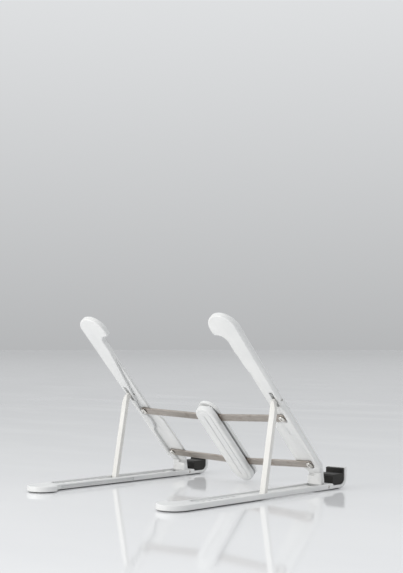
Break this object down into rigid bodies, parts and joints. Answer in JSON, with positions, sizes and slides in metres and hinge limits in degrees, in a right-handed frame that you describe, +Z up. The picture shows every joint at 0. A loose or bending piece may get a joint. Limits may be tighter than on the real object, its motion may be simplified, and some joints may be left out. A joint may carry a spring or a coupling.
{
  "type": "laptop stand",
  "caption": "Folding laptop stand: hinged side frames with props and front hooks, joined by a linked centre bar that lets it close.",
  "frame": {"origin": "on the surface the open stand rests on, under the centre of its bounding box", "axes": "+X to the laptop user's right, -Y towards the user and the hooks, +Y towards the arm heads, +Z up"},
  "size_m": [0.203, 0.2305, 0.1634],
  "materials": {
    "white_plastic": "off-white moulded plastic, satin",
    "warm_plastic": "slightly warmer off-white moulded plastic, satin",
    "brushed_steel": "grey-brown steel strip, brushed along its length",
    "bright_metal": "bright nickel-plated steel",
    "dark_silicone": "dull black silicone rubber",
    "pale_silicone": "pale grey silicone rubber, matt"
  },
  "bodies": {
    "centre_bar": {"bar_lower_shell": "white_plastic", "bar_upper_shell": "white_plastic", "bar_pad": "pale_silicone", "bar_screw_1": "bright_metal", "bar_screw_2": "bright_metal", "left_upper_link_pin": "bright_metal", "left_lower_link_pin": "bright_metal", "right_upper_link_pin": "bright_metal", "right_lower_link_pin": "bright_metal"},
    "left_upper_link": {"left_upper_link": "brushed_steel"},
    "left_lower_link": {"left_lower_link": "brushed_steel"},
    "left_arm": {"left_arm": "white_plastic", "left_arm_head_pad": "pale_silicone", "left_arm_lower_pad": "pale_silicone", "left_lower_rivet": "bright_metal", "left_upper_rivet": "bright_metal", "left_strut_pin": "bright_metal"},
    "left_base": {"left_base_rail": "white_plastic", "left_hook_liner": "dark_silicone", "left_front_foot_pad": "dark_silicone", "left_rear_foot_pad": "dark_silicone", "left_base_hinge_pin": "bright_metal"},
    "left_strut": {"left_strut": "warm_plastic"},
    "right_upper_link": {"right_upper_link": "brushed_steel"},
    "right_lower_link": {"right_lower_link": "brushed_steel"},
    "right_arm": {"right_arm": "white_plastic", "right_arm_head_pad": "pale_silicone", "right_arm_lower_pad": "pale_silicone", "right_lower_rivet": "bright_metal", "right_upper_rivet": "bright_metal", "right_strut_pin": "bright_metal"},
    "right_base": {"right_base_rail": "white_plastic", "right_hook_liner": "dark_silicone", "right_front_foot_pad": "dark_silicone", "right_rear_foot_pad": "dark_silicone", "right_base_hinge_pin": "bright_metal"},
    "right_strut": {"right_strut": "warm_plastic"}
  },
  "joints": [
    {"name": "left_upper_link_swing", "type": "hinge", "parent": "centre_bar", "child": "left_upper_link", "pos_m": [-0.0075, -0.03524, 0.06631], "axis": [0, -0.7408, 0.6717], "range_deg": [0, 81.69]},
    {"name": "left_lower_link_swing", "type": "hinge", "parent": "centre_bar", "child": "left_lower_link", "pos_m": [-0.0075, -0.07554, 0.02187], "axis": [0, -0.7408, 0.6717], "range_deg": [0, 81.69]},
    {"name": "left_arm_swing", "type": "hinge", "parent": "left_upper_link", "child": "left_arm", "pos_m": [-0.0904, -0.03271, 0.0691], "axis": [0, -0.7408, 0.6717], "range_deg": [-81.69, 0]},
    {"name": "left_base_fold", "type": "hinge", "parent": "left_arm", "child": "left_base", "pos_m": [-0.0905, -0.08697, 0.0033], "axis": [1, 0, 0], "range_deg": [0, 47.8]},
    {"name": "left_strut_swing", "type": "hinge", "parent": "left_arm", "child": "left_strut", "pos_m": [-0.097, -0.01877, 0.08656], "axis": [-1, 0, 0], "range_deg": [0, 52.95]},
    {"name": "right_upper_link_swing", "type": "hinge", "parent": "centre_bar", "child": "right_upper_link", "pos_m": [0.0075, -0.03524, 0.06631], "axis": [0, 0.7408, -0.6717], "range_deg": [0, 81.69]},
    {"name": "right_lower_link_swing", "type": "hinge", "parent": "centre_bar", "child": "right_lower_link", "pos_m": [0.0075, -0.07554, 0.02187], "axis": [0, 0.7408, -0.6717], "range_deg": [0, 81.69]},
    {"name": "right_arm_swing", "type": "hinge", "parent": "right_upper_link", "child": "right_arm", "pos_m": [0.0904, -0.03271, 0.0691], "axis": [0, 0.7408, -0.6717], "range_deg": [-81.69, 0]},
    {"name": "right_base_fold", "type": "hinge", "parent": "right_arm", "child": "right_base", "pos_m": [0.0905, -0.08697, 0.0033], "axis": [1, 0, 0], "range_deg": [0, 47.8]},
    {"name": "right_strut_swing", "type": "hinge", "parent": "right_arm", "child": "right_strut", "pos_m": [0.097, -0.01877, 0.08656], "axis": [-1, 0, 0], "range_deg": [0, 52.95]}
  ],
  "couplings": [
    {"joint": "left_lower_link_swing", "follows": "left_upper_link_swing", "ratio": 1},
    {"joint": "left_arm_swing", "follows": "left_upper_link_swing", "ratio": -1},
    {"joint": "left_strut_swing", "follows": "left_base_fold", "ratio": 1.1077},
    {"joint": "right_lower_link_swing", "follows": "right_upper_link_swing", "ratio": 1},
    {"joint": "right_arm_swing", "follows": "right_upper_link_swing", "ratio": -1},
    {"joint": "right_strut_swing", "follows": "right_base_fold", "ratio": 1.1077}
  ]
}
